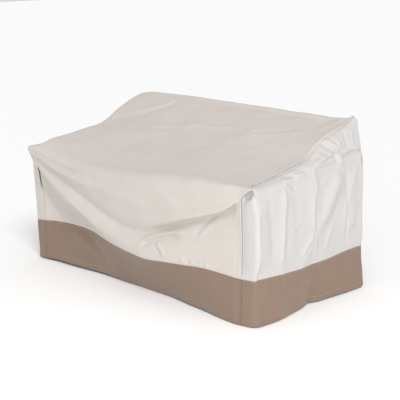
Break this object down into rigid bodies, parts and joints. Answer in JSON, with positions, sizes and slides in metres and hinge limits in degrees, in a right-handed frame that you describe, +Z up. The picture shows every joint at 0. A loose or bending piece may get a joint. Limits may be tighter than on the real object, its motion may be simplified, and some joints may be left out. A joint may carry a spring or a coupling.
{
  "type": "outdoor sofa cover",
  "caption": "Fitted outdoor cover for a two-seat sofa: cream coated cloth with a contrasting skirt, hanging in a deep swag over the seat front.",
  "frame": {"origin": "point under the top where the sofa's backrest carries the cover, in the middle of its length", "axes": "+X along the sofa to the right, +Y to its back, +Z up; the mount's axis points down, into the sofa"},
  "size_m": [1.5039, 0.7467, 0.7723],
  "materials": {
    "panel_cloth": "plain-weave polyester with a matt water-repellent coating, warm cream",
    "side_cloth": "the same coated cloth, paler where the light falls on it",
    "skirt_cloth": "plain-weave coated polyester, taupe, with a stitched hem",
    "seam_edge": "turned and stitched seam allowance, cream"
  },
  "bodies": {
    "root": {"centre_panel": "panel_cloth", "side_panel_left": "side_cloth", "side_panel_right": "side_cloth", "skirt_front": "skirt_cloth", "skirt_back": "skirt_cloth", "skirt_left": "skirt_cloth", "skirt_right": "skirt_cloth", "seam_edge_left": "seam_edge", "seam_edge_right": "seam_edge"}
  },
  "joints": []
}
